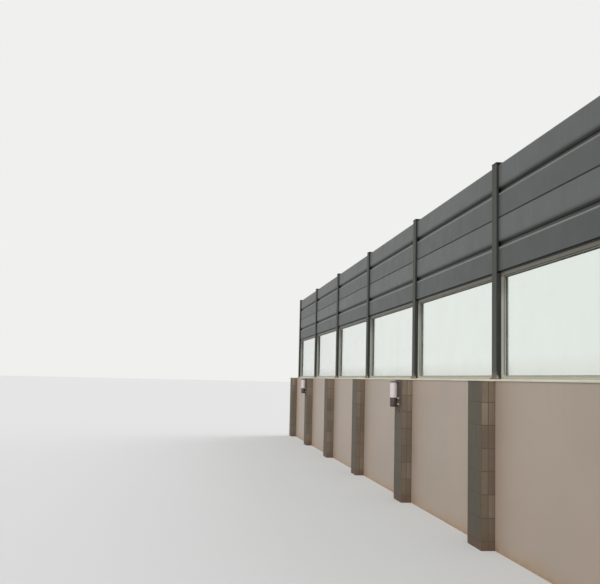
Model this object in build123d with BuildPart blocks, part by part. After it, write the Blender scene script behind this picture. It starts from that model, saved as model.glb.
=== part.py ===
"""Highway noise barrier: six bays of acoustic and clear panels on a low wall with piers.

The wall runs along X. Its road face looks towards -Y and +Z is up. The origin is at
ground level, on the wall's centre line, under the middle pier. Pier and post 0 stand at
the +X end. Bay 1 lies between posts 0 and 1. Millimetres throughout.
"""

import os

from build123d import *

# The run of bays
bay_pitch = 3000.0
bay_count = 6

# Low masonry wall and its piers
wall_height = 1500.0
wall_thickness = 240.0
pier_width = 390.0
pier_projection = 130.0
pier_edge_bevel = 4.0

# Coping slabs
coping_thickness = 18.0
coping_edge_thickness = 15.0
coping_overhang = 8.0
coping_flat_width = 170.0
pier_coping_fall_run = 9.0
drip_setback = 2.5
drip_groove_width = 3.0
drip_groove_depth = 2.0

# Rolled steel posts, their foot plates and cap plates
post_depth = 125.0
post_flange_width = 125.0
post_flange_thickness = 9.0
post_web_thickness = 6.5
post_root_radius = 8.0
post_above_panels = 20.0
foot_plate_length = 200.0
foot_plate_depth = 150.0
foot_plate_thickness = 10.0
anchor_spacing_x = 160.0
anchor_spacing_y = 110.0
anchor_hole_diameter = 18.0
plate_corner_cut = 8.0
cap_plate_size = 130.0
cap_plate_thickness = 6.0

# Clear panel: frame bars round one sheet
panel_end_gap = 12.0
clear_panel_height = 975.0
frame_depth = 50.0
rail_face = 46.0
sill_face = 24.0
stile_face = 152.0
frame_edge_bevel = 3.0
rail_bead_face = 11.0
stile_bead_face = 16.0
bead_line_width = 10.0
bead_line_depth = 5.0
sheet_thickness = 15.0
sheet_bite = 12.0
sheet_groove_depth = 14.0
sheet_side_clearance = 0.5

# Acoustic panels, two to a bay
acoustic_height = 500.0
acoustic_depth = 80.0
acoustic_band = 235.0
acoustic_lip_height = 20.0
acoustic_lip_depth = 12.0
acoustic_recess_height = 72.0
acoustic_recess_depth = 30.0
acoustic_back_height = 26.0
acoustic_edge_bevel = 3.0
tongue_width = 24.0
tongue_height = 18.0
tongue_slot_width = 30.0
tongue_slot_depth = 8.0

# Seals and bedding
clear_joint_gap = 20.0
joint_gap = 12.0
joint_seal_setback = 5.0
channel_seal_width = 30.0
channel_seal_setback = 2.0
clear_seal_reach = 26.0
bedding_spread = 14.0

# Wall lamps on every third pier
first_lamp_index = 2
lamp_interval_count = 3
lamp_top_drop = 12.0
lamp_standoff = 60.0
lamp_cap_diameter = 104.0
lamp_cap_rim = 9.0
lamp_cap_height = 24.0
diffuser_diameter = 96.0
diffuser_height = 190.0
housing_collar_diameter = 98.0
housing_collar_height = 8.0
housing_diameter = 92.0
housing_height = 114.0
housing_foot_diameter = 80.0
housing_taper_height = 22.0
bracket_width = 156.0
bracket_height = 370.0
bracket_thickness = 5.0
bracket_drop = 24.0
bracket_corner_cut = 12.0
bracket_arm_width = 56.0
bracket_arm_height = 60.0

# Places that follow from the sizes above
half_run = bay_pitch * bay_count / 2
posts_x = [half_run - index * bay_pitch for index in range(bay_count + 1)]
bays_x = [half_run - (index + 0.5) * bay_pitch for index in range(bay_count)]
lamps_x = posts_x[first_lamp_index::lamp_interval_count]
pier_depth = wall_thickness + 2 * pier_projection
wall_bay_length = bay_pitch - pier_width
pier_coping_length = pier_width + 2 * coping_overhang
bay_coping_length = bay_pitch - pier_coping_length
coping_top = wall_height + coping_thickness
panel_foot = coping_top + foot_plate_thickness
panel_length = bay_pitch - post_web_thickness - 2 * panel_end_gap
clear_panel_top = panel_foot + clear_panel_height
lower_acoustic_foot = clear_panel_top + clear_joint_gap
upper_acoustic_foot = lower_acoustic_foot + acoustic_height + joint_gap
panels_top = upper_acoustic_foot + acoustic_height
post_top = panels_top + post_above_panels
flange_inner_face = post_depth / 2 - post_flange_thickness
along_wall = (1, 0, 0)

os.makedirs("parts", exist_ok=True)


def save(piece, node):
    """Label one finished piece and write it to its own file."""
    piece.part.label = node
    export_step(piece.part, f"parts/{node}.step")


def section_plane(x, z):
    """A plane across the wall at x, its own x along +Y and its own y up from height z."""
    return Plane(origin=(x, 0, z), x_dir=(0, 1, 0), z_dir=(1, 0, 0))


# Masonry: plain rendered wall between tiled piers
for bay, x in enumerate(bays_x, start=1):
    with BuildPart() as wall_bay:
        with BuildSketch(section_plane(x - wall_bay_length / 2, 0)):
            Rectangle(wall_thickness, wall_height, align=(Align.CENTER, Align.MIN))
        extrude(amount=wall_bay_length)
    save(wall_bay, f"wall_bay_{bay}")

for number, x in enumerate(posts_x):
    with BuildPart() as pier:
        with BuildSketch(Plane(origin=(x, 0, 0))) as pier_plan:
            Rectangle(pier_width, pier_depth)
            chamfer(pier_plan.vertices(), length=pier_edge_bevel)
        extrude(amount=wall_height)
    save(pier, f"pier_{number}")


# Coping: weathered slabs along the bays, flat slabs over the piers
def coping_section(x):
    """Half of the slab's outline is drawn and mirrored: flat seat, weathered top, drip groove."""
    half_width = wall_thickness / 2 + coping_overhang
    drip_outer = half_width - drip_setback
    drip_inner = drip_outer - drip_groove_width
    with BuildSketch(section_plane(x, wall_height)) as section:
        with BuildLine():
            Polyline(
                (0, coping_thickness),
                (coping_flat_width / 2, coping_thickness),
                (half_width, coping_edge_thickness),
                (half_width, 0),
                (drip_outer, 0),
                (drip_outer, drip_groove_depth),
                (drip_inner, drip_groove_depth),
                (drip_inner, 0),
                (0, 0),
            )
            mirror(about=Plane.YZ)
        make_face()
    return section.sketch


with BuildPart() as bay_copings:
    for x in bays_x:
        slab_section = coping_section(x - bay_coping_length / 2)
        extrude(slab_section, amount=bay_coping_length, dir=along_wall)
save(bay_copings, "bay_copings")

with BuildPart() as pier_copings:
    slab_depth = pier_depth + 2 * coping_overhang
    slab_fall = coping_thickness - coping_edge_thickness
    with BuildSketch(Plane.XY.offset(wall_height)):
        with Locations([(x, 0) for x in posts_x]):
            Rectangle(pier_coping_length, slab_depth)
    extrude(amount=coping_thickness)
    road_and_rear_edges = (
        pier_copings.edges()
        .filter_by(Axis.X)
        .group_by(Axis.Z)[-1]
    )
    chamfer(road_and_rear_edges, length=slab_fall, length2=pier_coping_fall_run)
    drip_y = slab_depth / 2 - drip_setback - drip_groove_width / 2
    with BuildSketch(Plane.XY.offset(wall_height)):
        with Locations([(x, side * drip_y) for x in posts_x for side in (-1, 1)]):
            Rectangle(pier_coping_length, drip_groove_width)
    extrude(amount=drip_groove_depth, mode=Mode.SUBTRACT)
save(pier_copings, "pier_copings")

# Posts: rolled H sections, their channels open along the wall to take the panel ends
for number, x in enumerate(posts_x):
    with BuildPart() as post:
        with BuildSketch(Plane(origin=(x, 0, panel_foot))) as post_section:
            channel_reach = (post_flange_width - post_web_thickness) / 2
            Rectangle(post_flange_width, post_depth)
            with GridLocations(post_web_thickness + channel_reach, 0, 2, 1):
                Rectangle(channel_reach, 2 * flange_inner_face, mode=Mode.SUBTRACT)
            roots = [v for v in post_section.vertices() if abs(v.X) < post_web_thickness]
            fillet(roots, radius=post_root_radius)
        extrude(amount=post_top - panel_foot)
    save(post, f"post_{number}")

with BuildPart() as foot_plates:
    with BuildSketch(Plane.XY.offset(coping_top)) as foot_plan:
        with Locations([(x, 0) for x in posts_x]):
            Rectangle(foot_plate_length, foot_plate_depth)
        chamfer(foot_plan.vertices(), length=plate_corner_cut)
        with Locations([(x, 0) for x in posts_x]):
            with GridLocations(anchor_spacing_x, anchor_spacing_y, 2, 2):
                Circle(anchor_hole_diameter / 2, mode=Mode.SUBTRACT)
    extrude(amount=foot_plate_thickness)
save(foot_plates, "post_foot_plates")

with BuildPart() as cap_plates:
    with BuildSketch(Plane.XY.offset(post_top)) as cap_plan:
        with Locations([(x, 0) for x in posts_x]):
            Rectangle(cap_plate_size, cap_plate_size)
        chamfer(cap_plan.vertices(), length=plate_corner_cut)
    extrude(amount=cap_plate_thickness)
save(cap_plates, "post_cap_plates")


# Clear panels: every frame bar is a box section with a bead line and a groove for the sheet
def frame_bar(plane, face, bead_face, length):
    """One bar: its outer edge lies on the plane's x axis and its groove opens along +y."""
    half_depth = frame_depth / 2
    groove_half = sheet_thickness / 2 + sheet_side_clearance
    bead_line = face - bead_face
    with BuildSketch(plane) as bar_section:
        with BuildLine():
            Polyline(
                (0, 0),
                (half_depth, 0),
                (half_depth, bead_line - bead_line_width / 2),
                (half_depth - bead_line_depth, bead_line),
                (half_depth, bead_line + bead_line_width / 2),
                (half_depth, face - frame_edge_bevel),
                (half_depth - frame_edge_bevel, face),
                (groove_half, face),
                (groove_half, face - sheet_groove_depth),
                (0, face - sheet_groove_depth),
            )
            mirror(about=Plane.YZ)
        make_face()
    extrude(bar_section.sketch, amount=length, dir=plane.z_dir)


with BuildPart() as frame_rails:
    rail_length = panel_length - 2 * stile_face
    for x in bays_x:
        low_end = (x - rail_length / 2, 0, panel_foot)
        high_end = (x + rail_length / 2, 0, clear_panel_top)
        sill_plane = Plane(origin=low_end, x_dir=(0, 1, 0), z_dir=(1, 0, 0))
        head_plane = Plane(origin=high_end, x_dir=(0, 1, 0), z_dir=(-1, 0, 0))
        frame_bar(sill_plane, sill_face, rail_bead_face, rail_length)
        frame_bar(head_plane, rail_face, rail_bead_face, rail_length)
save(frame_rails, "clear_panel_rails")

with BuildPart() as frame_stiles:
    for x in bays_x:
        for side in (-1, 1):
            outer_edge = (x + side * panel_length / 2, 0, panel_foot)
            stile_plane = Plane(origin=outer_edge, x_dir=(0, side, 0), z_dir=(0, 0, 1))
            frame_bar(stile_plane, stile_face, stile_bead_face, clear_panel_height)
save(frame_stiles, "clear_panel_stiles")

sheet_length = panel_length - 2 * stile_face + 2 * sheet_bite
sheet_foot = panel_foot + sill_face - sheet_groove_depth
sheet_height = clear_panel_top - rail_face + sheet_bite - sheet_foot
for bay, x in enumerate(bays_x, start=1):
    with BuildPart() as clear_sheet:
        with BuildSketch(section_plane(x - sheet_length / 2, sheet_foot)):
            Rectangle(sheet_thickness, sheet_height, align=(Align.CENTER, Align.MIN))
        extrude(amount=sheet_length)
    save(clear_sheet, f"clear_sheet_{bay}")


# Acoustic panels: folded cassettes with one long recess a side and a tongue along the top
def acoustic_section(x, z):
    """Half of the cassette's outline is drawn and mirrored, so both faces are alike."""
    face = acoustic_depth / 2
    recess_face = face - acoustic_recess_depth
    recess_top = (face, acoustic_band + acoustic_recess_height)
    recess_back = (recess_face, acoustic_band + acoustic_back_height)
    with BuildSketch(section_plane(x, z)) as section:
        with BuildLine():
            Polyline(
                (0, tongue_slot_depth),
                (tongue_slot_width / 2, tongue_slot_depth),
                (tongue_slot_width / 2, 0),
                (face - acoustic_edge_bevel, 0),
                (face, acoustic_edge_bevel),
                (face, acoustic_band - acoustic_lip_height),
                (face - acoustic_lip_depth, acoustic_band),
                (recess_face, acoustic_band),
                recess_back,
            )
            TangentArc(recess_top, recess_back, tangent=(0, -1))
            Polyline(
                recess_top,
                (face, acoustic_height - acoustic_edge_bevel),
                (face - acoustic_edge_bevel, acoustic_height),
                (tongue_width / 2, acoustic_height),
                (tongue_width / 2, acoustic_height + tongue_height),
                (0, acoustic_height + tongue_height),
            )
            mirror(about=Plane.YZ)
        make_face()
    return section.sketch


for bay, x in enumerate(bays_x, start=1):
    with BuildPart() as acoustic_panels:
        for foot in (lower_acoustic_foot, upper_acoustic_foot):
            cassette_section = acoustic_section(x - panel_length / 2, foot)
            extrude(cassette_section, amount=panel_length, dir=along_wall)
    save(acoustic_panels, f"acoustic_panels_{bay}")

# Seals: strips in the joints between panels, and strips beside the panels in the channels
with BuildPart() as joint_seals:
    seal_inner = tongue_slot_width / 2
    seal_outer = acoustic_depth / 2 - joint_seal_setback
    clear_seal_outer = frame_depth / 2
    for x in bays_x:
        seal_start = x - panel_length / 2
        for foot, outer, gap in (
            (clear_panel_top, clear_seal_outer, clear_joint_gap),
            (upper_acoustic_foot - joint_gap, seal_outer, joint_gap),
        ):
            with BuildSketch(section_plane(seal_start, foot)):
                with Locations([(side * (seal_inner + outer) / 2, gap / 2) for side in (-1, 1)]):
                    Rectangle(outer - seal_inner, gap)
            extrude(amount=panel_length)
save(joint_seals, "joint_seals")


def channel_strips(panel_half_depth, reach, foot, top):
    """Strips that fill each channel between a panel's faces and the flanges."""
    strip_width = channel_seal_width + reach
    strip_x = post_flange_width / 2 - channel_seal_setback + reach - strip_width / 2
    strip_y = (panel_half_depth + flange_inner_face) / 2
    with BuildSketch(Plane.XY.offset(foot)) as strips:
        for bay_x in bays_x:
            corners = [
                (bay_x + end * (bay_pitch / 2 - strip_x), side * strip_y)
                for end in (-1, 1)
                for side in (-1, 1)
            ]
            with Locations(corners):
                Rectangle(strip_width, flange_inner_face - panel_half_depth)
    extrude(strips.sketch, amount=top - foot, dir=(0, 0, 1))


with BuildPart() as channel_seals:
    channel_strips(acoustic_depth / 2, 0, lower_acoustic_foot, panels_top)
    channel_strips(frame_depth / 2, clear_seal_reach, panel_foot, clear_panel_top)
save(channel_seals, "channel_seals")

with BuildPart() as bedding_strips:
    bedding_length = bay_pitch - foot_plate_length
    for x in bays_x:
        with BuildSketch(section_plane(x - bedding_length / 2, coping_top)):
            with BuildLine():
                Polyline(
                    (0, 0),
                    (frame_depth / 2 + bedding_spread, 0),
                    (frame_depth / 2, foot_plate_thickness),
                    (0, foot_plate_thickness),
                )
                mirror(about=Plane.YZ)
            make_face()
        extrude(amount=bedding_length)
save(bedding_strips, "bedding_strips")

# Wall lamps: a housing held by a wall bracket, a milky diffuser on it and a cap on top
lamp_y = -(pier_depth / 2 + lamp_standoff)
lamp_top = wall_height - lamp_top_drop
diffuser_top = lamp_top - lamp_cap_height
housing_top = diffuser_top - diffuser_height
housing_foot = housing_top - housing_height
collar_foot = housing_top - housing_collar_height
bracket_face = -pier_depth / 2


def turned_plane(x):
    """An upright plane through one lamp's axis, its own y up from ground level."""
    return Plane(origin=(x, lamp_y, 0), x_dir=(1, 0, 0), z_dir=(0, -1, 0))


def lamp_axis(x):
    return Axis((x, lamp_y, 0), (0, 0, 1))


with BuildPart() as lamp_housings:
    for x in lamps_x:
        with BuildSketch(turned_plane(x)):
            with BuildLine():
                Polyline(
                    (0, housing_foot),
                    (housing_foot_diameter / 2, housing_foot),
                    (housing_diameter / 2, housing_foot + housing_taper_height),
                    (housing_diameter / 2, collar_foot),
                    (housing_collar_diameter / 2, collar_foot),
                    (housing_collar_diameter / 2, housing_top),
                    (0, housing_top),
                    close=True,
                )
            make_face()
        revolve(axis=lamp_axis(x))
        with BuildSketch(turned_plane(x)):
            with BuildLine():
                cap_edge = (lamp_cap_diameter / 2, diffuser_top + lamp_cap_rim)
                Polyline((0, diffuser_top), (lamp_cap_diameter / 2, diffuser_top), cap_edge)
                Line(cap_edge, (0, lamp_top))
                Line((0, lamp_top), (0, diffuser_top))
            make_face()
        revolve(axis=lamp_axis(x))
save(lamp_housings, "lamp_housings")

with BuildPart() as lamp_diffusers:
    for x in lamps_x:
        with BuildSketch(Plane(origin=(x, lamp_y, housing_top))):
            Circle(diffuser_diameter / 2)
        extrude(amount=diffuser_height)
save(lamp_diffusers, "lamp_diffusers")

with BuildPart() as lamp_brackets:
    bracket_top = lamp_top - bracket_drop
    arm_middle = (collar_foot + housing_foot) / 2
    for x in lamps_x:
        back_centre = (x, bracket_face, bracket_top - bracket_height / 2)
        wall_plane = Plane(origin=back_centre, x_dir=(1, 0, 0), z_dir=(0, -1, 0))
        with BuildSketch(wall_plane) as back_plate:
            Rectangle(bracket_width, bracket_height)
            chamfer(back_plate.vertices(), length=bracket_corner_cut)
        extrude(amount=bracket_thickness)
        with BuildSketch(Plane(origin=(x, bracket_face, arm_middle))):
            with Locations((0, -(bracket_thickness + lamp_standoff) / 2)):
                Rectangle(bracket_arm_width, lamp_standoff - bracket_thickness)
            with Locations((0, -lamp_standoff)):
                Circle(housing_diameter / 2, mode=Mode.SUBTRACT)
        extrude(amount=bracket_arm_height / 2, both=True)
save(lamp_brackets, "lamp_brackets")
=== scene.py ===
"""Highway noise barrier in its finishes: six bays of panels on a low rendered wall with tiled piers.

Metres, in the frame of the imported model. The wall runs along X, its front looks
towards -Y, and pier and post 0 stand at the +X end.
"""

import math

import bmesh
import bpy
from mathutils import Matrix, Vector


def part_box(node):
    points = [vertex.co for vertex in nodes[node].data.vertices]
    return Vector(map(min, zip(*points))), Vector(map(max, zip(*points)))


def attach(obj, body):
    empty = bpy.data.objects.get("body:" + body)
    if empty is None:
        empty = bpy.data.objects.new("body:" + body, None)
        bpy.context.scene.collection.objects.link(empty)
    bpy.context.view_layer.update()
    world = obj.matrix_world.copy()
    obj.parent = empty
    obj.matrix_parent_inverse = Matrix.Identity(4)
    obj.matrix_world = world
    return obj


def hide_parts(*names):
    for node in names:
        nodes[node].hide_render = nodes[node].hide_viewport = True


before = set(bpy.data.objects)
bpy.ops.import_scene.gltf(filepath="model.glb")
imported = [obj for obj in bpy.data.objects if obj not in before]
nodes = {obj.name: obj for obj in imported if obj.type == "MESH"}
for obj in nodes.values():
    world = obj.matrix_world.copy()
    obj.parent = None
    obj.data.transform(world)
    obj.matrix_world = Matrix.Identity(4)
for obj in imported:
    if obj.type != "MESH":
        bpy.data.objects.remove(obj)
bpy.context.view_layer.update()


# Low wall: brickwork under a coat of painted cement render, one panel between each two piers.
# The coat is floated by hand, so it is fine-grained and a little wavy, with run-off marks
# below the coping and soil splashed along its foot.
def shade(red, green, blue):
    """A colour as it is seen, 0 to 255, for a shader socket."""
    linear = []
    for channel in (red, green, blue):
        value = channel / 255
        linear.append(value / 12.92 if value <= 0.04045 else ((value + 0.055) / 1.055) ** 2.4)
    return (*linear, 1.0)


def add(tree, kind, inputs=None, output=0, **settings):
    """One output of a new node; its settings are made first, then its inputs are linked or set."""
    made = tree.nodes.new(kind)
    for name, value in settings.items():
        setattr(made, name, value)
    for name, value in (inputs or {}).items():
        if isinstance(value, bpy.types.NodeSocket):
            tree.links.new(value, made.inputs[name])
        else:
            made.inputs[name].default_value = value
    return made.outputs[output]


def maths(tree, operation, first, second=0.0):
    return add(tree, "ShaderNodeMath", {0: first, 1: second}, operation=operation)


def times(tree, first, second):
    return maths(tree, "MULTIPLY", first, second)


def ranged(tree, value, start, spread):
    """A value that runs from 0 to 1 made to run from start over the spread."""
    return maths(tree, "ADD", start, times(tree, value, spread))


def vector_maths(tree, operation, first, second):
    return add(tree, "ShaderNodeVectorMath", {0: first, 1: second}, operation=operation)


def scaled(tree, vector, share):
    return add(tree, "ShaderNodeVectorMath", {0: vector, "Scale": share}, operation="SCALE")


def mixed(tree, mask, under, over):
    """One colour laid over another where the mask says so, on a Mix node's colour sockets."""
    return add(tree, "ShaderNodeMix", {0: mask, 6: under, 7: over}, 2, data_type="RGBA")


def tinted(tree, colour, tint, mask, share):
    """A colour under a tint, 0 to 255, that covers this share of it where the mask is 1."""
    return mixed(tree, times(tree, mask, share), colour, shade(*tint))


def stepped(tree, value, start, end):
    """0 before start, 1 after end, smooth between; start may be the larger one."""
    inputs = {"Value": value, "From Min": start, "From Max": end}
    return add(tree, "ShaderNodeMapRange", inputs, interpolation_type="SMOOTHSTEP")


def object_place(tree):
    return add(tree, "ShaderNodeTexCoord", output="Object")


def part_of(tree, vector, axis):
    return add(tree, "ShaderNodeSeparateXYZ", {0: vector}, axis)


def place_along(tree, axis):
    """Where a point of the surface lies along one axis, in metres."""
    return part_of(tree, object_place(tree), axis)


def noise_of(tree, size, detail=2.0, roughness=0.5, stretch=None, place=None):
    """Noise from 0 to 1 with patches of this size in metres, stretched along some axes."""
    if place is None:
        place = object_place(tree)
    if stretch:
        place = vector_maths(tree, "MULTIPLY", place, stretch)
    scale = maths(tree, "DIVIDE", 1.0, size) if isinstance(size, bpy.types.NodeSocket) else 1 / size
    inputs = {"Vector": place, "Scale": scale, "Detail": detail, "Roughness": roughness}
    return add(tree, "ShaderNodeTexNoise", inputs)


def socket_kind(value):
    """The kind of socket that a value needs; a word names a kind that has no value."""
    if isinstance(value, str):
        return value
    if isinstance(value, tuple):
        return "Color" if len(value) == 4 else "Vector"
    return "Int" if isinstance(value, int) else "Float"


def new_group(name, inputs, output="Geometry", output_kind="Geometry"):
    """An empty node group with named inputs, each with its value or its kind, and one output."""
    tree = bpy.data.node_groups.new(name, "GeometryNodeTree" if output == "Geometry" else "ShaderNodeTree")
    for socket_name, value in inputs.items():
        socket_type = f"NodeSocket{socket_kind(value)}"
        socket = tree.interface.new_socket(socket_name, in_out="INPUT", socket_type=socket_type)
        if not isinstance(value, str):
            socket.default_value = value
    tree.interface.new_socket(output, in_out="OUTPUT", socket_type=f"NodeSocket{output_kind}")
    return tree, tree.nodes.new("NodeGroupInput").outputs, tree.nodes.new("NodeGroupOutput").inputs[0]


plain_grey = (0.5, 0.5, 0.5, 1)
clouding, given, result = new_group(
    "clouding",
    {
        "Colour": plain_grey,
        "Second colour": plain_grey,
        "Patch": 1.0,
        "Depth": 0.05,
        "Speck": 0.03,
        "Speck size": 0.004,
    },
    "Colour",
    "Color",
)
tree = clouding
patches = noise_of(tree, given["Patch"], detail=3.0)
specks = noise_of(tree, given["Speck size"], detail=1.0)
body = mixed(tree, stepped(tree, patches, 0.36, 0.64), given["Colour"], given["Second colour"])
broad = times(tree, maths(tree, "SUBTRACT", patches, 0.5), given["Depth"])
fine = times(tree, maths(tree, "SUBTRACT", specks, 0.5), given["Speck"])
strength = ranged(tree, maths(tree, "ADD", broad, fine), 1.0, 4.0)
tree.links.new(scaled(tree, body, strength), result)

run_off, given, result = new_group("run_off", {"Top": 1.5, "Length": 0.6, "Spacing": 0.05}, "Mask", "Float")
tree = run_off
streaks = noise_of(tree, given["Spacing"], detail=3.0, stretch=(1, 1, 0.035))
fallen = maths(tree, "SUBTRACT", given["Top"], place_along(tree, "Z"))
fallen = maths(tree, "DIVIDE", fallen, given["Length"])
streaks = stepped(tree, streaks, 0.5, 0.72)
tree.links.new(times(tree, streaks, stepped(tree, fallen, 1.0, 0.0)), result)

foot_soil, given, result = new_group(
    "foot_soil", {"Foot": 0.0, "Height": 0.12, "Ragged": 0.08, "Patch": 0.35}, "Mask", "Float"
)
tree = foot_soil
height = maths(tree, "SUBTRACT", place_along(tree, "Z"), given["Foot"])
waves = noise_of(tree, given["Patch"], detail=5.0)
lifted = times(tree, maths(tree, "SUBTRACT", waves, 0.5), given["Ragged"])
height = maths(tree, "ADD", height, times(tree, lifted, 4.0))
share = maths(tree, "DIVIDE", height, given["Height"])
tree.links.new(stepped(tree, share, 1.0, 0.0), result)

grain_sizes = {"Grain": 0.003, "Grain depth": 0.0004, "Wave": 0.3, "Wave depth": 0.001}
surface_grain, given, result = new_group("surface_grain", grain_sizes, "Normal", "Vector")
tree = surface_grain
swell = noise_of(tree, given["Wave"], detail=1.0)
pits = noise_of(tree, given["Grain"], roughness=0.6)
waved = add(tree, "ShaderNodeBump", {"Height": swell, "Distance": given["Wave depth"]})
pitted = {"Height": pits, "Distance": given["Grain depth"], "Normal": waved}
tree.links.new(add(tree, "ShaderNodeBump", pitted), result)


def placed(tree, group, **values):
    """A shared effect placed in a material with its own values."""
    named = {name.replace("_", " "): value for name, value in values.items()}
    return add(tree, "ShaderNodeGroup", named, node_tree=group)


def clouded(tree, first, second, patch, depth, speck, size):
    """Two close tones of one finish, 0 to 255, in broad patches with specks of this size."""
    tones = {"Colour": shade(*first), "Second_colour": shade(*second)}
    return placed(tree, clouding, Patch=patch, Depth=depth, Speck=speck, Speck_size=size, **tones)


def stained(tree, colour, stain, share, group, **values):
    """A colour under a stain, 0 to 255, where the mask of a shared effect says so."""
    return tinted(tree, colour, stain, placed(tree, group, **values), share)


def new_material(name, roughness, metallic=0.0, specular=0.5):
    """A material and its tree and shader, with the plain values on the shader's own sockets."""
    material = bpy.data.materials.new(name)
    material.use_nodes = True
    shader = material.node_tree.nodes["Principled BSDF"]
    shader.inputs["Roughness"].default_value = roughness
    shader.inputs["Metallic"].default_value = metallic
    shader.inputs["Specular IOR Level"].default_value = specular
    return material, material.node_tree, shader.inputs


def painted(tree, shader, colour, **grain):
    """Gives the shader its colour and, where sizes are given, its surface grain."""
    tree.links.new(colour, shader["Base Color"])
    if grain:
        tree.links.new(placed(tree, surface_grain, **grain), shader["Normal"])


def coat(material, *names):
    """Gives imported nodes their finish."""
    for name in names:
        nodes[name].data.materials.clear()
        nodes[name].data.materials.append(material)


def numbered(start):
    """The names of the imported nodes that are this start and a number, in order."""
    return sorted(name for name in nodes if name.startswith(start) and name[len(start) :].isdigit())


wall_names = numbered("wall_bay_")
wall_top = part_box("wall_bay_1")[1].z

painted_render, tree, shader = new_material("painted_render", roughness=0.42)
colour = clouded(tree, (163, 146, 131), (156, 141, 126), patch=1.3, depth=0.04, speck=0.05, size=0.006)
colour = stained(tree, colour, (140, 131, 116), 0.14, run_off, Top=wall_top, Length=0.5, Spacing=0.14)
colour = stained(tree, colour, (157, 133, 106), 0.75, foot_soil, Height=0.15, Ragged=0.05, Patch=0.5)
colour = stained(tree, colour, (146, 116, 84), 0.6, foot_soil, Height=0.05, Ragged=0.03, Patch=0.12)
painted(tree, shader, colour, Grain=0.0022, Grain_depth=0.0005, Wave=0.28, Wave_depth=0.004)
coat(painted_render, *wall_names)


# Piers: brick piers clad in fired facade tiles, 60 mm wide and 200 mm high, set upright.
# Each tile is pressed into a bed of dark mortar by hand, so they tilt a little and differ
# in tone, and the lowest and highest courses are cut to fit.
def new_mesh(name, points, faces, edges=()):
    mesh = bpy.data.meshes.new(name)
    mesh.from_pydata([tuple(point) for point in points], edges, faces)
    return mesh


def new_object(name, data):
    made = bpy.data.objects.new(name, data)
    bpy.context.scene.collection.objects.link(made)
    return made


def at(x, y, z, turn=(0, 0, 0), size=(1, 1, 1)):
    """A place for one copy, how it is turned there and how it is sized."""
    return (x, y, z), turn, size


def places_mesh(name, places):
    """Loose points that carry how the copy at each is turned and sized."""
    mesh = new_mesh(name, [place[0] for place in places], [])
    for column, attribute in ((1, "turn"), (2, "size")):
        layer = mesh.attributes.new(attribute, "FLOAT_VECTOR", "POINT")
        layer.data.foreach_set("vector", [value for place in places for value in place[column]])
    return mesh


def named_vector(tree, name):
    return add(tree, "GeometryNodeInputNamedAttribute", {"Name": name}, data_type="FLOAT_VECTOR")


def random_vector(tree, reach, seed):
    """A small random vector for each copy, up to the reach along each axis."""
    inputs = {0: scaled(tree, reach, -1.0), 1: reach, "Seed": seed}
    return add(tree, "FunctionNodeRandomValue", inputs, data_type="FLOAT_VECTOR")


def with_finish(tree, geometry, material):
    """Copies made real and given their finish, as at the end of every tree."""
    real = add(tree, "GeometryNodeRealizeInstances", {0: geometry})
    return add(tree, "GeometryNodeSetMaterial", {"Geometry": real, "Material": material})


set_out, given, result = new_group(
    "set_out_copies",
    {
        "Places": "Geometry",
        "Piece": "Object",
        "Tilt": (0, 0, 0),
        "Shift": (0, 0, 0),
        "Seed": 1,
        "Finish": "Material",
        "Core low": (0, 0, 0),
        "Core high": (0, 0, 0),
        "Core finish": "Material",
    },
)
tree = set_out
shift = random_vector(tree, given["Shift"], maths(tree, "ADD", given["Seed"], 1.0))
tilt = random_vector(tree, given["Tilt"], given["Seed"])
copies = add(
    tree,
    "GeometryNodeInstanceOnPoints",
    {
        "Points": add(tree, "GeometryNodeSetPosition", {"Geometry": given["Places"], "Offset": shift}),
        "Instance": add(tree, "GeometryNodeObjectInfo", {"Object": given["Piece"]}, "Geometry"),
        "Rotation": vector_maths(tree, "ADD", named_vector(tree, "turn"), tilt),
        "Scale": named_vector(tree, "size"),
    },
)
tone_seed = maths(tree, "ADD", given["Seed"], 2.0)
# The second output of the random node is its plain number.
drawn_tone = add(tree, "FunctionNodeRandomValue", {"Seed": tone_seed}, 1, data_type="FLOAT")
toned = add(
    tree,
    "GeometryNodeStoreNamedAttribute",
    {"Geometry": copies, "Name": "tone", "Value": drawn_tone},
    data_type="FLOAT",
    domain="INSTANCE",
)
core_size = vector_maths(tree, "SUBTRACT", given["Core high"], given["Core low"])
core_middle = scaled(tree, vector_maths(tree, "ADD", given["Core high"], given["Core low"]), 0.5)
core = add(tree, "GeometryNodeMeshCube", {"Size": core_size}, "Mesh")
core = add(tree, "GeometryNodeTransform", {"Geometry": core, "Translation": core_middle})
core = with_finish(tree, core, given["Core finish"])
core_length = add(tree, "ShaderNodeVectorMath", {0: core_size}, "Value", operation="LENGTH")
has_core = maths(tree, "GREATER_THAN", core_length, 0.0)
core = add(tree, "GeometryNodeSwitch", {"Switch": has_core, "True": core}, input_type="GEOMETRY")
joined = add(tree, "GeometryNodeJoinGeometry", {0: with_finish(tree, toned, given["Finish"])})
tree.links.new(core, joined.node.inputs[0])
tree.links.new(joined, result)


def grown(holder, tree, **values):
    """Runs a geometry tree on an object, keeps the result as its plain mesh and drops the tree."""
    modifier = holder.modifiers.new(tree.name, "NODES")
    modifier.node_group = tree
    named = {name.replace("_", " "): value for name, value in values.items()}
    for socket in tree.interface.items_tree:
        if socket.in_out == "INPUT" and socket.name in named:
            modifier[socket.identifier] = named[socket.name]
    depsgraph = bpy.context.evaluated_depsgraph_get()
    mesh = bpy.data.meshes.new_from_object(holder.evaluated_get(depsgraph), depsgraph=depsgraph)
    holder.modifiers.clear()
    holder.data = mesh
    return holder


def fasten(piece, slot, *stood_for):
    """A finished piece rides with the barrier and may stand for nodes, which it hides. Its slot is not
    used.
    """
    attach(piece, "root")
    if stood_for:
        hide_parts(*stood_for)
    return piece


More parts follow.
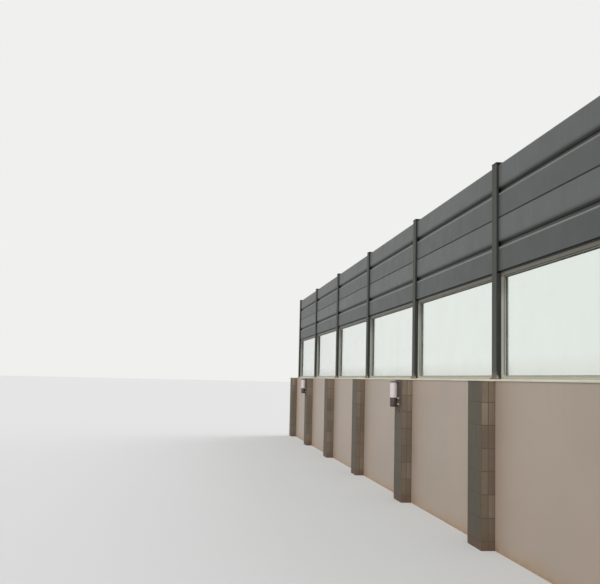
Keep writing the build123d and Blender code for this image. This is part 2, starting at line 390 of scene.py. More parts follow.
tile_width = 0.060
tile_height = 0.200
tile_thickness = 0.008
tile_joint = 0.005
tile_arris = 0.0012
joint_recess = 0.0015
top_gap = 0.0005
first_tile_seed = 11
tile_seed_step = 7
tile_module = tile_width + tile_joint
course = tile_height + tile_joint
lowest_joint = 0.079
wall_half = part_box("wall_bay_1")[1].y

# Where the pier sides are darkened: next to the wall, partly painted shade and partly dirt, and towards the
# bottom.
corner_shade_and_dirt_reach = (0.195, 0.125)
lower_side_darkening_levels = (1.45, 0.9)

tile_outline = [
    (-tile_width / 2, 0),
    (tile_width / 2, 0),
    (tile_width / 2, tile_height),
    (-tile_width / 2, tile_height),
]
tile_points = []
for depth, inset in ((tile_thickness, 0), (tile_arris, 0), (0, tile_arris)):
    for x, z in tile_outline:
        towards_middle = math.copysign(inset, -x)
        upward = inset if z == 0 else -inset
        tile_points.append((x + towards_middle, depth, z + upward))
tile_faces = [(3, 2, 1, 0), (8, 9, 10, 11)]
for ring in (0, 4):
    for corner in range(4):
        after = (corner + 1) % 4
        tile_faces.append((ring + corner, ring + after, ring + 4 + after, ring + 4 + corner))
tile_piece = new_object("facade_tile", new_mesh("facade_tile", tile_points, tile_faces))


def facing(tree, axis):
    """How much the surface faces along one axis, from -1 to 1."""
    return part_of(tree, add(tree, "ShaderNodeNewGeometry", output="Normal"), axis)


def tone_of(tree):
    """The random tone from 0 to 1 that each copy carries."""
    return add(tree, "ShaderNodeAttribute", output="Fac", attribute_name="tone")


facade_tile, tree, shader = new_material("facade_tile", roughness=0.58, specular=0.4)
tone = tone_of(tree)
# Fronts and sides of the same tiles take two colours: painted light on the lighter sides, painted shade on
# the darker fronts.
sideways = stepped(tree, maths(tree, "ABSOLUTE", facing(tree, "X")), 0.8, 0.95)
front_colour = clouded(tree, (73, 64, 50), (69, 62, 48), patch=0.5, depth=0.05, speck=0.06, size=0.003)
front_colour = scaled(tree, front_colour, ranged(tree, tone, 0.94, 0.12))
side_colour = clouded(tree, (119, 104, 88), (110, 96, 81), patch=0.12, depth=0.08, speck=0.07, size=0.003)
side_colour = scaled(tree, side_colour, ranged(tree, tone, 0.84, 0.32))
side_colour = tinted(tree, side_colour, (134, 123, 107), stepped(tree, tone, 0.90, 0.94), 0.55)
colour = mixed(tree, sideways, front_colour, side_colour)
# Partly painted shade, partly dirt: the inner part of each side, next to the wall, is darkened.
corner_shade_and_dirt = stepped(tree, maths(tree, "ABSOLUTE", place_along(tree, "Y")), *corner_shade_and_dirt_reach)
colour = tinted(tree, colour, (78, 67, 54), times(tree, corner_shade_and_dirt, sideways), 0.3)
# The sides grow darker towards the bottom.
lower_side_darkening = times(tree, stepped(tree, place_along(tree, "Z"), *lower_side_darkening_levels), sideways)
colour = tinted(tree, colour, (80, 67, 52), lower_side_darkening, 0.45)
colour = stained(tree, colour, (66, 62, 52), 0.15, run_off, Top=wall_top, Length=0.7, Spacing=0.03)
colour = stained(tree, colour, (84, 62, 48), 0.75, foot_soil, Height=0.17, Ragged=0.05, Patch=0.2)
painted(tree, shader, colour, Grain=0.004, Grain_depth=0.0006, Wave=0.05, Wave_depth=0.0012)

tile_mortar, tree, shader = new_material("tile_mortar", roughness=0.95, specular=0.2)
colour = clouded(tree, (92, 84, 71), (82, 75, 64), patch=0.2, depth=0.08, speck=0.08, size=0.002)
colour = stained(tree, colour, (74, 56, 42), 0.6, foot_soil, Height=0.17, Ragged=0.05, Patch=0.2)
painted(tree, shader, colour, Grain=0.0015, Grain_depth=0.0006, Wave=0.02, Wave_depth=0.0006)

course_feet = [(0.0, lowest_joint - tile_joint / 2)]
foot = lowest_joint + tile_joint / 2
while foot < wall_top - tile_joint:
    course_feet.append((foot, min(foot + tile_height, wall_top - top_gap)))
    foot += course


def face_columns(width):
    """Middles of the tile columns that fill a face of this width."""
    count = round(width / tile_module)
    pitch = width / count
    return [((column + 0.5) * pitch - width / 2, pitch / tile_module) for column in range(count)]


pier_names = numbered("pier_")
for number, pier_name in enumerate(pier_names):
    low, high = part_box(pier_name)
    middle = (low + high) / 2
    half_x = (high.x - low.x) / 2
    half_y = (high.y - low.y) / 2
    open_ends = {1 if number == 0 else 0, -1 if number == len(pier_names) - 1 else 0}
    tile_places = []
    for course_foot, course_top in course_feet:
        tall = (course_top - course_foot) / tile_height
        for side in (-1, 1):
            face_turn = (0, 0, 0 if side < 0 else math.pi)
            for along, wide in face_columns(2 * half_x):
                x = middle.x + along
                tile_places.append(at(x, side * half_y, course_foot, face_turn, (wide, 1, tall)))
            strips = [(-half_y, -wall_half), (wall_half, half_y)]
            if side in open_ends:
                strips.append((-wall_half, wall_half))
            x = middle.x + side * half_x
            side_turn = (0, 0, side * math.pi / 2)
            for strip_low, strip_high in strips:
                for along, wide in face_columns(strip_high - strip_low):
                    y = (strip_low + strip_high) / 2 + along
                    tile_places.append(at(x, y, course_foot, side_turn, (wide, 1, tall)))
    recess = Vector((joint_recess, joint_recess, 0))
    pier = grown(
        new_object(f"{pier_name}_tiled", places_mesh(f"{pier_name}_tiled", tile_places)),
        set_out,
        Piece=tile_piece,
        Tilt=Vector((0.003, 0, 0.006)),
        Shift=Vector((0.0003, 0.0003, 0)),
        Seed=first_tile_seed + tile_seed_step * number,
        Finish=facade_tile,
        Core_low=low + recess,
        Core_high=high - recess,
        Core_finish=tile_mortar,
    )
    fasten(pier, "pier_tiles", pier_name)
bpy.data.objects.remove(tile_piece)


# Coping: cast cream slabs bedded on the wall and the piers, weathered to both sides.
# The bays are covered by three slabs each with mortared joints, and one larger slab caps
# each pier. Arrises are rounded by the mould.
coping_joint = 0.006
joint_setback = 0.0015
slab_arris = 0.0014
slabs_per_bay = 3
coping_low, coping_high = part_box("bay_copings")
pier_coping_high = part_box("pier_copings")[1]
slab_half_width = coping_high.y
slab_height = coping_high.z - coping_low.z
slab_edge_height = 0.015
slab_flat_half = 0.085
drip_setback = 0.0025
drip_width = 0.003
drip_depth = 0.002
pier_slab_fall_run = 0.009
pier_slab_half_y = pier_coping_high.y
post_count = len(pier_names)
posts_x = [(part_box(name)[0].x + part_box(name)[1].x) / 2 for name in pier_names]
pier_slab_length = 2 * (pier_coping_high.x - posts_x[0])
bay_length = posts_x[0] - posts_x[1] - pier_slab_length
slab_length = (bay_length - (slabs_per_bay - 1) * coping_joint) / slabs_per_bay


def slab_mesh(name, length, half_width, flat_half, inset=0.0):
    """One coping slab along X, drawn as a section with its drip grooves, its arrises rounded."""
    groove_outer = half_width - drip_setback
    groove_inner = groove_outer - drip_width
    half_section = [
        (flat_half, slab_height - inset),
        (half_width - inset, slab_edge_height - inset),
        (half_width - inset, 0),
        (groove_outer, 0),
        (groove_outer, drip_depth),
        (groove_inner, drip_depth),
        (groove_inner, 0),
    ]
    section = half_section + [(-y, z) for y, z in reversed(half_section)]
    count = len(section)
    points = [(side * length / 2, y, z) for side in (-1, 1) for y, z in section]
    faces = [(step, step + count, (step + 1) % count + count, (step + 1) % count) for step in range(count)]
    faces += [tuple(range(count)), tuple(range(2 * count - 1, count - 1, -1))]
    mesh = new_mesh(name, points, faces)
    editing = bmesh.new()
    editing.from_mesh(mesh)
    bmesh.ops.recalc_face_normals(editing, faces=editing.faces)
    if inset == 0.0:
        arrises = []
        for edge in editing.edges:
            beyond_groove = [abs(end.co.y) > (groove_outer + half_width) / 2 for end in edge.verts]
            above_groove = [end.co.z > 2 * drip_depth for end in edge.verts]
            if all(beyond or above for beyond, above in zip(beyond_groove, above_groove)):
                arrises.append(edge)
        bmesh.ops.bevel(editing, geom=arrises, offset=slab_arris, segments=2, affect="EDGES", profile=0.5)
    editing.to_mesh(mesh)
    editing.free()
    return mesh


cream_slab, tree, shader = new_material("cream_slab", roughness=0.9, specular=0.25)
colour = clouded(tree, (208, 203, 184), (200, 194, 174), patch=0.4, depth=0.06, speck=0.07, size=0.005)
colour = scaled(tree, colour, ranged(tree, tone_of(tree), 0.95, 0.08))
lichen = stepped(tree, noise_of(tree, 0.06, detail=6.0), 0.55, 0.72)
lichen = times(tree, lichen, stepped(tree, facing(tree, "Z"), -0.2, 0.6))
colour = tinted(tree, colour, (140, 136, 112), lichen, 0.3)
painted(tree, shader, colour, Grain=0.0018, Grain_depth=0.0004, Wave=0.09, Wave_depth=0.0008)

joint_mortar, tree, shader = new_material("joint_mortar", roughness=0.94, specular=0.2)
colour = clouded(tree, (172, 168, 146), (158, 156, 132), patch=0.25, depth=0.07, speck=0.08, size=0.003)
painted(tree, shader, colour, Grain=0.0016, Grain_depth=0.0007, Wave=0.03, Wave_depth=0.0012)


def laid(name, piece_mesh, spots, slot, finish, stood_for=(), tilt=(0, 0, 0), shift=(0, 0, 0), seed=1):
    """Copies of one piece at their places, as one finished object."""
    source = new_object(f"{name}_piece", piece_mesh)
    made = grown(
        new_object(name, places_mesh(name, spots)),
        set_out,
        Piece=source,
        Tilt=Vector(tilt),
        Shift=Vector(shift),
        Seed=seed,
        Finish=finish,
    )
    bpy.data.objects.remove(source)
    return fasten(made, slot, *stood_for)


bay_middles = [(posts_x[bay] + posts_x[bay + 1]) / 2 for bay in range(post_count - 1)]
slab_pitch = slab_length + coping_joint
slab_spots = []
joint_spots = []
for middle in bay_middles:
    for slab in range(slabs_per_bay):
        slab_spots.append(at(middle + (slab - 1) * slab_pitch, 0, wall_top))
    for joint in range(slabs_per_bay - 1):
        joint_spots.append(at(middle + (joint - 0.5) * slab_pitch, 0, wall_top))
bay_slab = slab_mesh("bay_coping_slab", slab_length, slab_half_width, slab_flat_half)
laid(
    "bay_coping_slabs",
    bay_slab,
    slab_spots,
    "coping",
    cream_slab,
    stood_for=["bay_copings"],
    shift=(0.0004, 0.0006, 0),
    seed=31,
)
pier_slab_flat_half = pier_slab_half_y - pier_slab_fall_run
pier_slab = slab_mesh("pier_coping_slab", pier_slab_length, pier_slab_half_y, pier_slab_flat_half)
pier_slab_spots = [at(x, 0, wall_top) for x in posts_x]
laid("pier_coping_slabs", pier_slab, pier_slab_spots, "coping", cream_slab, ["pier_copings"], seed=37)
mortar_joint = slab_mesh("coping_joint", coping_joint, slab_half_width, slab_flat_half, joint_setback)
laid("coping_joints", mortar_joint, joint_spots, "bedding_mortar", joint_mortar, seed=41)


# Posts: hot-rolled steel H sections under dark grey paint, one over the middle of each pier.
# A fillet weld runs round each post where it stands on its foot plate and under its cap plate.
# Rain and splashes leave soil and a little rust at its foot.
post_names = numbered("post_")
post_low, post_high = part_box("post_0")
post_half = (post_high.y - post_low.y) / 2
flange_thickness = 0.009
web_half = 0.00325
weld_size = 0.0045
weld_ripple = 0.0045
channel_depths = (post_half - 0.008, post_half - 0.012)
# Levels where the channel is darkened: a painted shadow under the panels, and darker towards the foot.
painted_channel_shadow_levels = (2.25, 2.50)
channel_foot_darkening_levels = (1.82, 1.62)

settled_dust, given, result = new_group(
    "settled_dust", {"Colour": plain_grey, "Dust": plain_grey, "Amount": 0.5}, "Colour", "Color"
)
tree = settled_dust
ledge = stepped(tree, facing(tree, "Z"), 0.25, 0.9)
patch = noise_of(tree, 0.11, detail=4.0)
film = times(tree, ledge, stepped(tree, patch, 0.1, 0.8))
film = times(tree, film, given["Amount"])
tree.links.new(mixed(tree, film, given["Colour"], given["Dust"]), result)

rust_sizes = {"Height": 1.5, "Reach": 0.05, "Patch": 0.02}
rust_bloom, given, result = new_group("rust_bloom", rust_sizes, "Mask", "Float")
tree = rust_bloom
away = maths(tree, "SUBTRACT", place_along(tree, "Z"), given["Height"])
away = maths(tree, "DIVIDE", maths(tree, "ABSOLUTE", away), given["Reach"])
blotches = noise_of(tree, given["Patch"], detail=5.0)
blotches = stepped(tree, blotches, 0.5, 0.66)
tree.links.new(times(tree, stepped(tree, away, 1.0, 0.0), blotches), result)


def dusted(tree, colour, dust, amount):
    """A colour with dust, 0 to 255, settled in patches on what faces up."""
    return placed(tree, settled_dust, Colour=colour, Dust=shade(*dust), Amount=amount)


post_paint, tree, shader = new_material("post_paint", roughness=0.65, specular=0.2)
colour = clouded(tree, (72, 74, 69), (67, 68, 63), patch=0.6, depth=0.05, speck=0.02, size=0.01)
colour = stained(tree, colour, (100, 99, 89), 0.2, run_off, Top=post_high.z, Length=1.4, Spacing=0.02)
colour = dusted(tree, colour, (134, 128, 112), 0.7)
across = maths(tree, "ABSOLUTE", place_along(tree, "Y"))
level = place_along(tree, "Z")
in_channel = stepped(tree, across, *channel_depths)
# Painted shadow: the channel is darkened from just below the acoustic panels upward.
painted_channel_shadow = times(tree, in_channel, stepped(tree, level, *painted_channel_shadow_levels))
colour = tinted(tree, colour, (30, 31, 27), painted_channel_shadow, 0.6)
# Painted shade: faces that look along the wall, the web and the flange edges, are darkened.
sideways = stepped(tree, maths(tree, "ABSOLUTE", facing(tree, "X")), 0.5, 0.9)
colour = tinted(tree, colour, (32, 33, 29), sideways, 0.55)
# The channel grows darker towards the foot.
channel_foot_darkening = times(tree, in_channel, stepped(tree, level, *channel_foot_darkening_levels))
colour = tinted(tree, colour, (36, 31, 24), channel_foot_darkening, 0.6)
splash = {"Foot": post_low.z, "Height": 0.075, "Ragged": 0.02, "Patch": 0.08}
colour = stained(tree, colour, (122, 115, 97), 0.75, foot_soil, **splash)
colour = stained(tree, colour, (104, 66, 42), 0.8, rust_bloom, Height=post_low.z, Reach=0.07, Patch=0.02)
painted(tree, shader, colour, Grain=0.0025, Grain_depth=0.00008, Wave=0.08, Wave_depth=0.0003)
coat(post_paint, *post_names)

weld_bead, given, result = new_group(
    "weld_bead",
    {"Outline": "Geometry", "Bead": 0.004, "Ripple": 0.004, "Ripple depth": 0.16, "Finish": "Material"},
)
tree = weld_bead
outline = add(tree, "GeometryNodeMeshToCurve", {0: given["Outline"]})
ring_step = maths(tree, "DIVIDE", given["Ripple"], 2.0)
rings = add(tree, "GeometryNodeResampleCurve", {"Curve": outline, "Length": ring_step}, mode="LENGTH")
every_other = maths(tree, "MODULO", add(tree, "GeometryNodeInputIndex"), 2.0)
rippled = maths(tree, "SUBTRACT", 1.0, times(tree, every_other, given["Ripple depth"]))
ring_radius = times(tree, rippled, given["Bead"])
bead = add(
    tree,
    "GeometryNodeCurveToMesh",
    {
        "Curve": add(tree, "GeometryNodeSetCurveRadius", {"Curve": rings, "Radius": ring_radius}),
        "Profile Curve": add(tree, "GeometryNodeCurvePrimitiveCircle", {"Resolution": 6, "Radius": 1.0}),
        "Scale": add(tree, "GeometryNodeInputRadius"),
    },
)
bead = add(tree, "GeometryNodeSetShadeSmooth", {0: bead})
tree.links.new(with_finish(tree, bead, given["Finish"]), result)

flange_inner = post_half - flange_thickness
quarter_outline = [
    (web_half, 0),
    (web_half, flange_inner),
    (post_half, flange_inner),
    (post_half, post_half),
]
upper_outline = quarter_outline[1:] + [(-x, y) for x, y in reversed(quarter_outline[1:])]
h_outline = upper_outline + [(-x, -y) for x, y in upper_outline]
loops = []
for x in posts_x:
    for z in (post_low.z, post_high.z):
        loops.append([(x + along, across, z) for along, across in h_outline])


def loops_mesh(name, closed_loops):
    """Closed outlines as loose edges."""
    points = [point for loop in closed_loops for point in loop]
    edges = []
    start = 0
    for loop in closed_loops:
        count = len(loop)
        edges += [(start + step, start + (step + 1) % count) for step in range(count)]
        start += count
    return new_mesh(name, points, [], edges)


weld_loops = new_object("post_welds", loops_mesh("post_welds", loops))
fasten(grown(weld_loops, weld_bead, Bead=weld_size, Ripple=weld_ripple, Finish=post_paint), "post_steel")


# Foot plates and cap plates: flame-cut steel under dark paint that rusts at its edges.
# Each foot plate is held down by four galvanised anchor studs, each with a flat washer
# and a hexagon nut, drilled and fixed through the coping into the pier.
plate_low, plate_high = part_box("post_foot_plates")
road_film_levels = (1.40, 1.50)

plate_paint, tree, shader = new_material("plate_paint", roughness=0.7, specular=0.3)
colour = clouded(tree, (112, 101, 86), (92, 84, 72), patch=0.12, depth=0.08, speck=0.06, size=0.004)
colour = stained(tree, colour, (110, 68, 42), 0.9, rust_bloom, Height=plate_low.z, Reach=0.03, Patch=0.018)
colour = dusted(tree, colour, (126, 116, 98), 0.5)
painted(tree, shader, colour, Grain=0.003, Grain_depth=0.0002, Wave=0.03, Wave_depth=0.0002)
coat(plate_paint, "post_foot_plates", "post_cap_plates")

galvanised, tree, shader = new_material("galvanised_zinc", roughness=0.42, metallic=0.6)
colour = clouded(tree, (188, 183, 176), (166, 163, 158), patch=0.01, depth=0.08, speck=0.08, size=0.002)
colour = stained(tree, colour, (120, 84, 58), 0.7, rust_bloom, Height=plate_high.z, Reach=0.02, Patch=0.008)
road_film = stepped(tree, place_along(tree, "Z"), *road_film_levels)
colour = tinted(tree, colour, (112, 105, 92), road_film, 0.6)
painted(tree, shader, colour)
dulled = noise_of(tree, 0.006)
tree.links.new(ranged(tree, dulled, 0.34, 0.25), shader["Roughness"])


def turned(outline, steps, foot=0.0):
    """A closed round solid from (radius, height) points, first and last on its axis."""
    points = [(0, 0, foot + outline[0][1])]
    for radius, height in outline[1:-1]:
        for step in range(steps):
            angle = 2 * math.pi * step / steps
            points.append((radius * math.cos(angle), radius * math.sin(angle), foot + height))
    points.append((0, 0, foot + outline[-1][1]))
    faces = []
    rings = len(outline) - 2
    for step in range(steps):
        after = (step + 1) % steps
        faces.append((0, 1 + after, 1 + step))
        for ring in range(rings - 1):
            low = 1 + ring * steps
            faces.append((low + step, low + after, low + steps + after, low + steps + step))
        last = 1 + (rings - 1) * steps
        faces.append((last + step, last + after, len(points) - 1))
    return points, faces


def joined_mesh(name, *solids, edge_angle=math.radians(32)):
    """Several closed shapes as one mesh, smooth but for edges sharper than the angle."""
    points = []
    faces = []
    for solid_points, solid_faces in solids:
        start = len(points)
        points += solid_points
        faces += [tuple(start + corner for corner in face) for face in solid_faces]
    mesh = new_mesh(name, points, faces)
    editing = bmesh.new()
    editing.from_mesh(mesh)
    bmesh.ops.recalc_face_normals(editing, faces=editing.faces)
    editing.to_mesh(mesh)
    editing.free()
    mesh.shade_smooth()
    mesh.set_sharp_from_angle(angle=edge_angle)
    return mesh


def hexagon(across_flats, foot, height, chamfer=0.0012, crown=0.88):
    """A hexagon nut or head, its corners chamfered at the top to this share of its width."""
    corner = across_flats / math.sqrt(3)
    top = foot + height
    return turned([(0, foot), (corner, foot), (corner, top - chamfer), (corner * crown, top), (0, top)], 6)


washer_radius = 0.015
washer_thickness = 0.0025
nut_flats = 0.024
nut_height = 0.013
stud_radius = 0.008
stud_proud = 0.012
thread_pitch = 0.002
thread_depth = 0.0011
washer_outline = [
    (0, 0),
    (washer_radius, 0),
    (washer_radius, washer_thickness * 0.75),
    (washer_radius * 0.97, washer_thickness),
    (0, washer_thickness),
]
stud_foot = washer_thickness + nut_height
stud_outline = [(0, stud_foot - thread_pitch)]
for turn in range(int(stud_proud / thread_pitch) + 1):
    turn_foot = stud_foot - thread_pitch / 2 + turn * thread_pitch
    stud_outline.append((stud_radius - thread_depth, turn_foot))
    stud_outline.append((stud_radius, turn_foot + thread_pitch / 2))
stud_top = stud_outline[-1][1] + thread_pitch / 2
stud_outline += [(stud_radius - thread_depth, stud_top), (0, stud_top)]
anchor_nut = hexagon(nut_flats, washer_thickness, nut_height)
anchor_mesh = joined_mesh("anchor", turned(washer_outline, 24), anchor_nut, turned(stud_outline, 12))
anchor_half_x = 0.080
anchor_half_y = 0.055
spin_by_post = 0.7
spin_by_side = 1.9
spin_by_face = 0.8
anchor_spots = []
for number, x in enumerate(posts_x):
    for side_x in (-1, 1):
        for side_y in (-1, 1):
            spin = spin_by_post * number + spin_by_side * side_x + spin_by_face * side_y
            spot = (x + side_x * anchor_half_x, side_y * anchor_half_y, plate_high.z)
            anchor_spots.append(at(*spot, turn=(0, 0, spin)))
laid("anchor_studs", anchor_mesh, anchor_spots, "plate_steel", galvanised, tilt=(0.02, 0.02, 0.2), seed=53)


# Clear panel frames: satin-anodised aluminium box sections round each clear sheet.
# The bars meet square at the corners and are drawn together by two screws at each corner
# on both faces. A grey rubber gasket presses the sheet all round.
rail_low, rail_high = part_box("clear_panel_rails")
sheet_low, sheet_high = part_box("clear_sheet_1")
frame_half = rail_high.y
sheet_half = sheet_high.y
sheet_bite = 0.012
sheet_foot_depth = 0.014
gasket_size = 0.004
gasket_corner = 0.001
bead_line_mouth = (0.0001, 0.0006)
bead_line_foot = (0.0048, 0.0056)
sill_levels = (rail_low.z + 0.026, rail_low.z + 0.036)
# Levels of the painted shadow that the acoustic panel above casts on the frame.
head_levels = (rail_high.z - 0.062, rail_high.z - 0.030)
painted_shadow_below_panel_levels = (rail_high.z - 0.30, rail_high.z - 0.10)

anodised, tree, shader = new_material("satin_anodised", roughness=0.5, specular=0.4)
colour = clouded(tree, (178, 178, 166), (170, 171, 158), patch=0.7, depth=0.04, speck=0.02, size=0.004)
drawn = noise_of(tree, 0.0015, detail=1.0, stretch=(1, 1, 0.01))
colour = tinted(tree, colour, (120, 118, 104), drawn, 0.12)
level = place_along(tree, "Z")
below_face = maths(tree, "SUBTRACT", frame_half, maths(tree, "ABSOLUTE", place_along(tree, "Y")))
in_groove = stepped(tree, below_face, *bead_line_mouth)
past_groove = stepped(tree, below_face, *bead_line_foot)
# Partly painted shade, partly dirt: the bead groove is darkened, much less along the bottom rail.
groove_shade_and_dirt = times(tree, in_groove, maths(tree, "SUBTRACT", 1.0, past_groove))
above_sill = stepped(tree, level, *sill_levels)
colour = tinted(tree, colour, (42, 42, 34), groove_shade_and_dirt, ranged(tree, above_sill, 0.1, 0.85))
# Painted shade: faces set back more than about 5 mm behind the frame's face are darkened.
colour = tinted(tree, colour, (126, 127, 114), past_groove, 0.3)
# Painted shadow of the acoustic panel above: dark along the top rail, fading down the stiles.
under_panel = times(tree, stepped(tree, level, *head_levels), 0.86)
painted_shadow_below_panel = times(tree, stepped(tree, level, *painted_shadow_below_panel_levels), 0.5)
colour = mixed(tree, maths(tree, "MAXIMUM", under_panel, painted_shadow_below_panel), colour, shade(68, 67, 53))
painted(tree, shader, dusted(tree, colour, (150, 140, 118), 0.8))
dulled = noise_of(tree, 0.08)
tree.links.new(ranged(tree, dulled, 0.42, 0.2), shader["Roughness"])
coat(anodised, "clear_panel_rails", "clear_panel_stiles")

seal_rubber, tree, shader = new_material("seal_rubber", roughness=0.75)
colour = clouded(tree, (26, 25, 23), (33, 31, 29), patch=0.3, depth=0.1, speck=0.05, size=0.003)
painted(tree, shader, dusted(tree, colour, (80, 75, 65), 0.5))
coat(seal_rubber, "joint_seals", "channel_seals")

gasket_rubber, tree, shader = new_material("gasket_rubber", roughness=0.7)
colour = clouded(tree, (104, 105, 96), (92, 93, 85), patch=0.3, depth=0.08, speck=0.05, size=0.003)
painted(tree, shader, dusted(tree, colour, (130, 124, 108), 0.6))

gasket_run, given, result = new_group(
    "gasket_run",
    {"Outline": "Geometry", "Width": 0.006, "Corner": 0.002, "Finish": "Material"},
)
tree = gasket_run
outline = add(tree, "GeometryNodeMeshToCurve", {0: given["Outline"]})
square = {"Width": given["Width"], "Height": given["Width"]}
profile = add(tree, "GeometryNodeCurvePrimitiveQuadrilateral", square)
rounding = {"Curve": profile, "Radius": given["Corner"], "Count": 3}
profile = add(tree, "GeometryNodeFilletCurve", rounding, mode="POLY")
gasket = add(tree, "GeometryNodeCurveToMesh", {"Curve": outline, "Profile Curve": profile})
tree.links.new(with_finish(tree, gasket, given["Finish"]), result)

sheet_names = numbered("clear_sheet_")
gasket_loops = []
screw_spots = []
screw_inset = 0.020
for name in sheet_names:
    low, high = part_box(name)
    open_low = Vector((low.x + sheet_bite, 0, low.z + sheet_foot_depth))
    open_high = Vector((high.x - sheet_bite, 0, high.z - sheet_bite))
    for side in (-1, 1):
        y = side * (sheet_half + gasket_size / 2)
        inset = gasket_size / 2
        gasket_loops.append(
            [
                (open_low.x + inset, y, open_low.z + inset),
                (open_high.x - inset, y, open_low.z + inset),
                (open_high.x - inset, y, open_high.z - inset),
                (open_low.x + inset, y, open_high.z - inset),
            ]
        )
        turn = (math.pi / 2, 0, 0) if side < 0 else (-math.pi / 2, 0, 0)
        for x, away in ((open_low.x, -1), (open_high.x, 1)):
            for z in ((rail_low.z + open_low.z) / 2, (rail_high.z + open_high.z) / 2):
                for step in (1, 2):
                    screw_spots.append(at(x + away * step * screw_inset, side * frame_half, z, turn))
gaskets = new_object("glazing_gaskets", loops_mesh("glazing_gaskets", gasket_loops))
gaskets = grown(gaskets, gasket_run, Width=gasket_size, Corner=gasket_corner, Finish=gasket_rubber)
fasten(gaskets, "seal_rubber")

screw_radius = 0.0045
screw_rim = 0.0006
screw_crown = ((0.0036, 0.0020), (0.0020, 0.0026))
screw_recess = ((0.0016, 0.0012), (0, 0.0010))
screw_foot = ((0, 0), (screw_radius, 0), (screw_radius, screw_rim))
screw_head_outline = [*screw_foot, *screw_crown, *screw_recess]
screw_head = joined_mesh("frame_screw", turned(screw_head_outline, 16))
laid("frame_screws", screw_head, screw_spots, "frame_aluminium", galvanised, seed=59)


# Clear sheets: cast acrylic 15 mm thick, faintly green through its edge.
# They carry a thin film of dust that thickens along the bottom rail.
dust_height = 0.22
clear_acrylic, tree, shader = new_material("clear_acrylic", roughness=0.04)
shader["IOR"].default_value = 1.49
shader["Transmission Weight"].default_value = 1.0
low_dust = stepped(tree, place_along(tree, "Z"), sheet_low.z + dust_height, sheet_low.z)
film = noise_of(tree, 0.35, detail=4.0)
film = maths(tree, "ADD", times(tree, film, 0.25), times(tree, low_dust, 0.3))
painted(tree, shader, mixed(tree, film, shade(240, 248, 243), shade(214, 216, 200)))
tree.links.new(ranged(tree, film, 0.02, 0.22), shader["Roughness"])
coat(clear_acrylic, *sheet_names)


# Acoustic panels: two cassettes to a bay, folded from coated steel sheet round mineral wool.
# Each has one long pressed recess on both faces, and drops over the tongue of the one below.
# The broad faces are never quite flat, and dust and rain mark them.
panels_low, panels_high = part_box("acoustic_panels_1")
cassette_pitch = 0.512
lip_level = 0.235
lip_height = 0.020
lip_foot = lip_level - lip_height
lowest_lip_foot = panels_low.z + lip_foot
recess_depths = (panels_high.y - 0.0045, panels_high.y - 0.0075)
# Levels of the painted shade under each lip and of the painted highlight along its edge.
band_levels = (lip_foot - 0.002, lip_foot - 0.010)
lowest_band_levels = (lowest_lip_foot - 0.002, lowest_lip_foot - 0.010)
lip_highlight_foot_levels = (lip_foot - 0.008, lip_foot - 0.004)
lip_highlight_top_levels = (lip_foot + 0.012, lip_foot + 0.008)

coated_sheet, tree, shader = new_material("coated_sheet_metal", roughness=0.5, specular=0.2)
colour = clouded(tree, (91, 93, 92), (86, 88, 88), patch=1.6, depth=0.04, speck=0.015, size=0.012)
colour = stained(tree, colour, (132, 130, 120), 0.16, run_off, Top=panels_high.z, Length=1.3, Spacing=0.04)
level = place_along(tree, "Z")
in_cassette = maths(tree, "MODULO", maths(tree, "SUBTRACT", level, panels_low.z), cassette_pitch)
# Painted shade: the band under each lip is darker, and the lowest one darker still.
lower_band = stepped(tree, in_cassette, *band_levels)
colour = tinted(tree, colour, (76, 78, 78), lower_band, 0.75)
lowest_band = stepped(tree, level, *lowest_band_levels)
colour = tinted(tree, colour, (66, 68, 68), lowest_band, 0.45)
across = maths(tree, "ABSOLUTE", place_along(tree, "Y"))
# Painted shade: the back of each pressed recess is darkened.
recess_back = stepped(tree, across, *recess_depths)
colour = tinted(tree, colour, (54, 56, 52), recess_back, 0.85)
# Painted highlight: a pale line along each lip's rounded edge.
lip_highlight = stepped(tree, in_cassette, *lip_highlight_foot_levels)
lip_highlight = times(tree, lip_highlight, stepped(tree, in_cassette, *lip_highlight_top_levels))
colour = tinted(tree, colour, (134, 136, 132), lip_highlight, 0.35)
# Painted shade on faces that turn downwards.
colour = tinted(tree, colour, (50, 52, 48), stepped(tree, facing(tree, "Z"), -0.1, -0.7), 0.12)
dust_amount = maths(tree, "SUBTRACT", 0.75, times(tree, recess_back, 0.5))
colour = dusted(tree, colour, (140, 139, 129), dust_amount)
painted(tree, shader, colour, Grain=0.002, Grain_depth=0.00004, Wave=0.45, Wave_depth=0.003)
smears = noise_of(tree, 0.2, detail=4.0)
tree.links.new(ranged(tree, smears, 0.40, 0.16), shader["Roughness"])
coat(coated_sheet, *numbered("acoustic_panels_"))


# Bedding: a fillet of cement mortar pointed along each clear panel's foot, on the coping.
# It is struck off with a small trowel, so its slope is uneven and crumbly.
bedding_low, bedding_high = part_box("bedding_strips")
fillet_spread = bedding_high.y - frame_half
fillet_skin = 0.0008

struck_fillet, given, result = new_group(
    "struck_fillet",
    {
        "Places": "Geometry",
        "Size": (1, 1, 1),
        "Spread": 0.014,
        "Skin": 0.001,
        "Foot level": 0.0,
        "Ragged": 0.004,
        "Rough": 0.001,
        "Finish": "Material",
    },
)
tree = struck_fillet
bar_cuts = {"Size": given["Size"], "Vertices X": 140, "Vertices Y": 15, "Vertices Z": 2}
bar = add(tree, "GeometryNodeMeshCube", bar_cuts, "Mesh")
bars = add(tree, "GeometryNodeInstanceOnPoints", {"Points": given["Places"], "Instance": bar})
bars = add(tree, "GeometryNodeRealizeInstances", {0: bars})
spot = add(tree, "GeometryNodeInputPosition")
spot_x, spot_y, spot_z = (part_of(tree, spot, axis) for axis in "XYZ")
size_y, size_z = (part_of(tree, given["Size"], axis) for axis in "YZ")
waver = noise_of(tree, 0.11, detail=3.0, place=spot)
crumbs = noise_of(tree, 0.017, place=spot)
